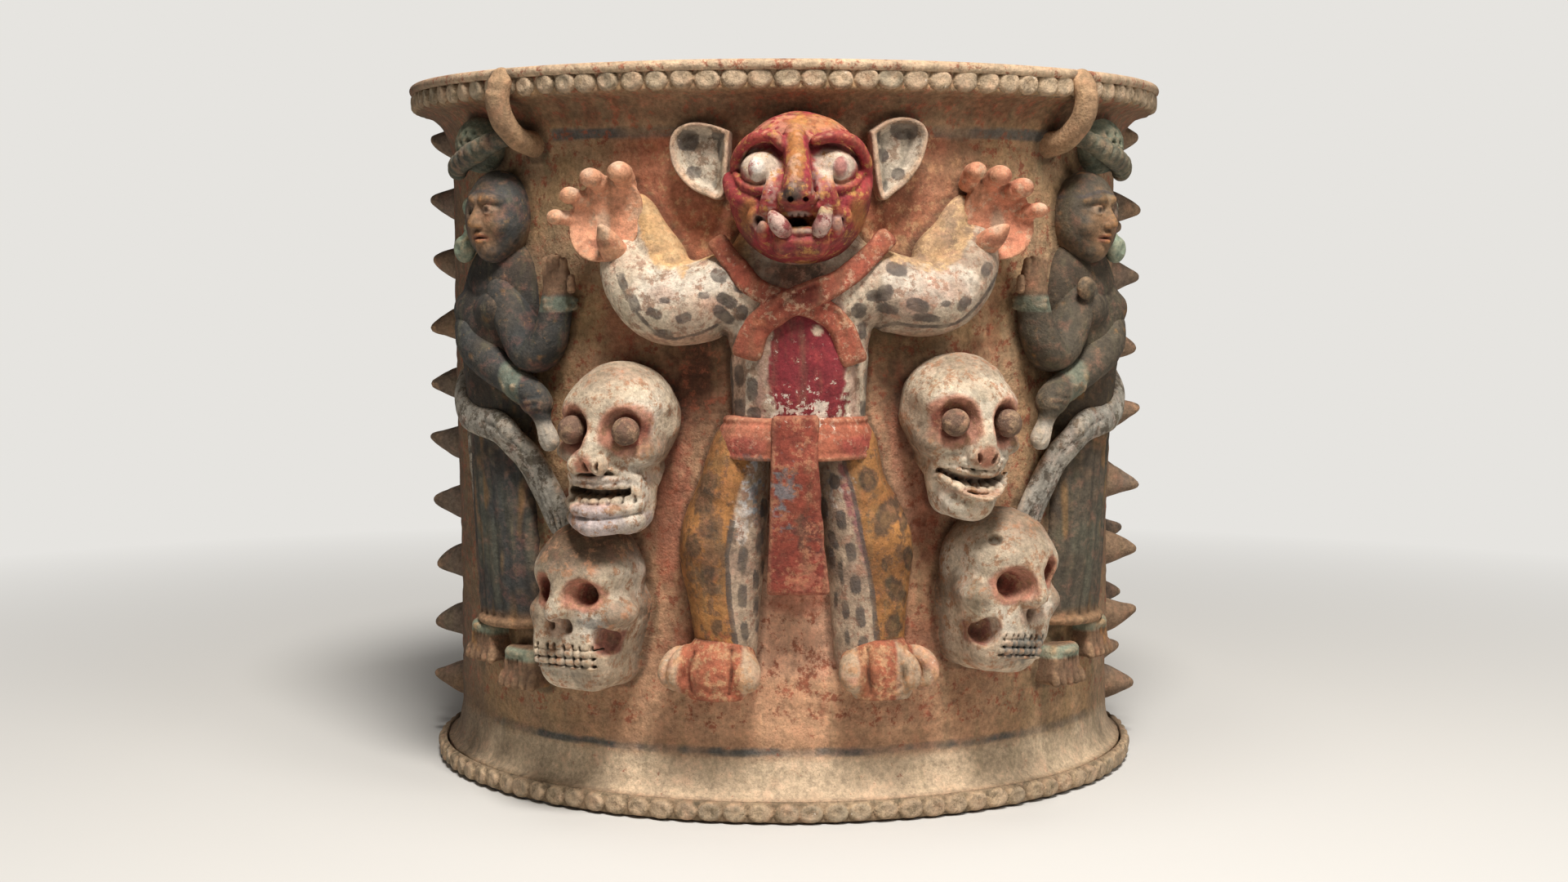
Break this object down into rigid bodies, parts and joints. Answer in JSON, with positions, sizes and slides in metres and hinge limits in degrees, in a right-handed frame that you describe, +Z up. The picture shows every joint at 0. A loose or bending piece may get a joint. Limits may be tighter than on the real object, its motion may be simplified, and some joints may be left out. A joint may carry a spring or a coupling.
{
  "type": "funerary urn",
  "caption": "Flared cylindrical earthenware urn with a feline figure, skulls, standing men, loop handles and columns of spines luted to its wall.",
  "frame": {"origin": "middle of the underside, on the surface the urn stands on", "axes": "+Z up along the vessel's axis; the feline faces -Y; its own left paw is towards +X"},
  "size_m": [0.5608, 0.6127, 0.5],
  "materials": {
    "bare_clay": "matt, worn, with red, buff and grey wash",
    "bone_slip": "matt bone-coloured slip, red in the hollows",
    "brown_slip": "matt brown slip",
    "cream_slip": "matt cream slip with dark grey rosettes",
    "crimson_slip": "matt crimson slip over ochre",
    "dark_slip": "matt dark grey-brown slip",
    "green_slip": "matt grey-green slip",
    "grey_white_slip": "matt grey-white slip",
    "ochre_slip": "matt ochre slip with dark spots",
    "red_slip": "matt brick-red slip"
  },
  "bodies": {
    "root": {"feline_apron": "crimson_slip", "feline_arm_left": "cream_slip", "feline_arm_right": "cream_slip", "feline_belt": "red_slip", "feline_ear_left": "cream_slip", "feline_ear_right": "cream_slip", "feline_eye_left": "cream_slip", "feline_eye_right": "cream_slip", "feline_hand_left": "red_slip", "feline_hand_right": "red_slip", "feline_head": "crimson_slip", "feline_leg_left": "ochre_slip", "feline_leg_right": "ochre_slip", "feline_paw_left": "red_slip", "feline_paw_right": "red_slip", "feline_scarf": "red_slip", "feline_torso": "cream_slip", "feline_tusk_left": "cream_slip", "feline_tusk_right": "cream_slip", "foot_strip": "bare_clay", "handle_back_left": "bare_clay", "handle_back_right": "bare_clay", "handle_front_left": "bare_clay", "handle_front_right": "bare_clay", "man_left_ear_flare": "green_slip", "man_left_foot_inner": "brown_slip", "man_left_foot_outer": "brown_slip", "man_left_hat": "green_slip", "man_left_head": "dark_slip", "man_left_lowered_arm": "dark_slip", "man_left_raised_arm": "dark_slip", "man_left_robe": "dark_slip", "man_left_sash": "grey_white_slip", "man_left_torso": "dark_slip", "man_right_ear_flare": "green_slip", "man_right_foot_inner": "brown_slip", "man_right_foot_outer": "brown_slip", "man_right_hat": "green_slip", "man_right_head": "dark_slip", "man_right_lowered_arm": "dark_slip", "man_right_raised_arm": "dark_slip", "man_right_robe": "dark_slip", "man_right_sash": "grey_white_slip", "man_right_torso": "dark_slip", "rim_strip": "bare_clay", "skull_lower_left": "bone_slip", "skull_lower_right": "bone_slip", "skull_upper_left": "bone_slip", "skull_upper_left_eye_left": "bare_clay", "skull_upper_left_eye_right": "bare_clay", "skull_upper_right": "bone_slip", "skull_upper_right_eye_left": "bare_clay", "skull_upper_right_eye_right": "bare_clay", "spine_row_left": "bare_clay", "spine_row_right_back": "bare_clay", "spine_row_right_front": "bare_clay", "vessel_floor": "bare_clay", "vessel_foot": "bare_clay", "vessel_rim": "bare_clay", "vessel_wall": "bare_clay"}
  },
  "joints": []
}
